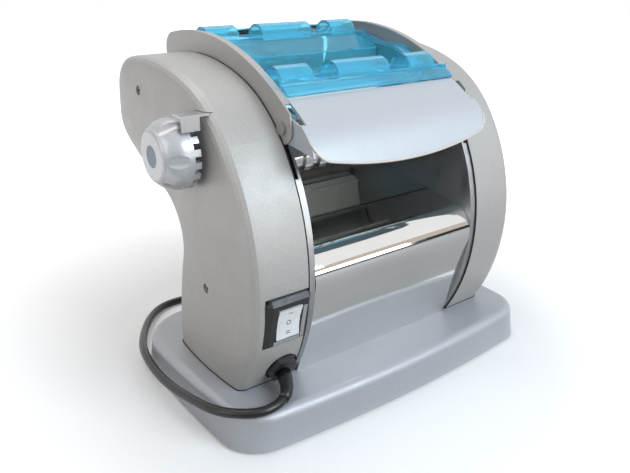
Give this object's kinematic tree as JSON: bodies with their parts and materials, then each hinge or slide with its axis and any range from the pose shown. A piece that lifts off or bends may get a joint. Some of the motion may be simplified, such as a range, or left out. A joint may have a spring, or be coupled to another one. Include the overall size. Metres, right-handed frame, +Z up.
{
  "type": "electric pasta maker",
  "caption": "Motor-driven table pasta maker: smooth sheet rollers and cutter rollers between two bulged end casings, clear hopper guard, thickness knob, rocker switch and cord.",
  "frame": {"origin": "middle of the machine's box on the table, without the cord", "axes": "+X along the rollers to the right, +Y to the back, +Z up"},
  "size_m": [0.3231, 0.3181, 0.274],
  "materials": {
    "casing_paint": "satin silver-grey paint, fine metallic grain",
    "base_paint": "satin silver-grey paint",
    "hood_paint": "satin silver",
    "polished_steel": "mirror-polished sheet",
    "plate_steel": "brushed sheet",
    "roller_steel": "polished",
    "screw_steel": "plated",
    "gear_steel": "oiled",
    "bearing_bronze": "plain",
    "guard_plastic": "clear blue",
    "knob_silver": "satin silver on moulded plastic",
    "cap_blue": "gloss",
    "frame_black": "fine grain",
    "rocker_white": "gloss",
    "carriage_plastic": "natural",
    "scraper_plastic": "natural",
    "motor_steel": "black",
    "motor_cap": "cast",
    "rubber_black": "matt",
    "cord_black": "satin",
    "pin_brass": "plated"
  },
  "bodies": {
    "machine": {"arch_screws": "screw_steel", "base_screws": "screw_steel", "base_shell": "base_paint", "casing_posts": "screw_steel", "casing_screws": "screw_steel", "cord_coil": "cord_black", "front_apron": "polished_steel", "gear_bracket": "plate_steel", "gear_studs": "screw_steel", "gearhead": "motor_cap", "gland_body": "frame_black", "gland_nut": "frame_black", "guard_screws": "screw_steel", "hood_pivot_screws": "screw_steel", "hopper_guard": "guard_plastic", "index_bracket": "plate_steel", "left_arch": "casing_paint", "left_bushes": "bearing_bronze", "left_casing": "casing_paint", "left_side_plate": "plate_steel", "motor_body": "motor_steel", "motor_cradle": "plate_steel", "motor_end_cap": "motor_cap", "outlet_chute": "polished_steel", "plug_body": "cord_black", "plug_pins": "pin_brass", "rear_cover": "polished_steel", "rear_panel": "plate_steel", "right_arch": "casing_paint", "right_bushes": "bearing_bronze", "right_casing": "casing_paint", "right_side_plate": "plate_steel", "roller_scrapers": "scraper_plastic", "rubber_feet": "rubber_black", "supply_cord": "cord_black", "switch_bezel": "frame_black", "switch_body": "frame_black", "tie_rod_nuts": "screw_steel", "tie_rods": "screw_steel"},
    "hood": {"front_hood": "hood_paint"},
    "spindle": {"knob_spindle": "screw_steel"},
    "grip": {"knob": "knob_silver", "knob_cap": "cap_blue"},
    "carriage": {"roller_carriages": "carriage_plastic"},
    "front_smooth": {"front_smooth_roller": "roller_steel", "front_roller_gear": "gear_steel"},
    "rear_smooth": {"rear_smooth_roller": "roller_steel", "rear_roller_gear": "gear_steel"},
    "upper_gear": {"upper_idler": "gear_steel"},
    "lower_gear": {"lower_idler": "gear_steel"},
    "drive": {"output_pinion": "gear_steel", "output_shaft": "screw_steel"},
    "low_cutter_gear": {"lower_cutter_idler": "gear_steel"},
    "top_cutter_gear": {"upper_cutter_idler": "gear_steel"},
    "front_cutter": {"front_cutter_roller": "roller_steel", "front_cutter_gear": "gear_steel"},
    "rear_cutter": {"rear_cutter_roller": "roller_steel", "rear_cutter_gear": "gear_steel"},
    "rocker": {"switch_rocker": "rocker_white"}
  },
  "joints": [
    {"name": "hood_hinge", "type": "hinge", "parent": "machine", "child": "hood", "pos_m": [0.001, -0.0602, 0.218], "axis": [-1, 0, 0], "range_deg": [0, 40]},
    {"name": "spindle_turn", "type": "hinge", "parent": "machine", "child": "spindle", "pos_m": [0.001, -0.0174, 0.201], "axis": [1, 0, 0], "range_deg": [0, 160]},
    {"name": "knob_pull", "type": "slide", "parent": "spindle", "child": "grip", "axis": [-1, 0, 0], "range_m": [0, 0.0045], "stiffness_N_per_m": 900, "springref_m": -0.001},
    {"name": "carriage_slide", "type": "slide", "parent": "machine", "child": "carriage", "axis": [0, -1, 0], "range_m": [0, 0.0022]},
    {"name": "front_smooth_spin", "type": "hinge", "parent": "carriage", "child": "front_smooth", "pos_m": [0.001, 0.0006, 0.215], "axis": [1, 0, 0], "continuous": true},
    {"name": "rear_smooth_spin", "type": "hinge", "parent": "machine", "child": "rear_smooth", "pos_m": [0.001, 0.031, 0.215], "axis": [1, 0, 0], "continuous": true},
    {"name": "upper_idler_spin", "type": "hinge", "parent": "machine", "child": "upper_gear", "pos_m": [0.001, 0.0208, 0.18362], "axis": [1, 0, 0], "continuous": true},
    {"name": "lower_idler_spin", "type": "hinge", "parent": "machine", "child": "lower_gear", "pos_m": [0.001, -0.00876, 0.15378], "axis": [1, 0, 0], "continuous": true},
    {"name": "drive_spin", "type": "hinge", "parent": "machine", "child": "drive", "pos_m": [0.001, -0.0232, 0.123], "axis": [1, 0, 0], "continuous": true},
    {"name": "lower_cutter_idler_spin", "type": "hinge", "parent": "machine", "child": "low_cutter_gear", "pos_m": [0.001, -0.0402, 0.15975], "axis": [1, 0, 0], "continuous": true},
    {"name": "upper_cutter_idler_spin", "type": "hinge", "parent": "machine", "child": "top_cutter_gear", "pos_m": [0.001, -0.04822, 0.17359], "axis": [1, 0, 0], "continuous": true},
    {"name": "front_cutter_spin", "type": "hinge", "parent": "machine", "child": "front_cutter", "pos_m": [0.001, -0.04822, 0.19359], "axis": [1, 0, 0], "continuous": true},
    {"name": "rear_cutter_spin", "type": "hinge", "parent": "machine", "child": "rear_cutter", "pos_m": [0.001, -0.0317, 0.211], "axis": [1, 0, 0], "continuous": true},
    {"name": "rocker_tilt", "type": "hinge", "parent": "machine", "child": "rocker", "pos_m": [-0.1025, -0.0872, 0.0925], "axis": [1, 0, 0], "range_deg": [-8, 8]}
  ],
  "couplings": [
    {"joint": "spindle_turn", "follows": "carriage_slide", "rad_per_m": 1269.3},
    {"joint": "front_smooth_spin", "follows": "rear_smooth_spin", "ratio": -1},
    {"joint": "upper_idler_spin", "follows": "rear_smooth_spin", "ratio": -0.83333},
    {"joint": "lower_idler_spin", "follows": "rear_smooth_spin", "ratio": 0.625},
    {"joint": "drive_spin", "follows": "rear_smooth_spin", "ratio": -1.5},
    {"joint": "lower_cutter_idler_spin", "follows": "rear_smooth_spin", "ratio": -1.875},
    {"joint": "upper_cutter_idler_spin", "follows": "rear_smooth_spin", "ratio": 1.875},
    {"joint": "front_cutter_spin", "follows": "rear_smooth_spin", "ratio": -1.25},
    {"joint": "rear_cutter_spin", "follows": "rear_smooth_spin", "ratio": 1.25}
  ]
}
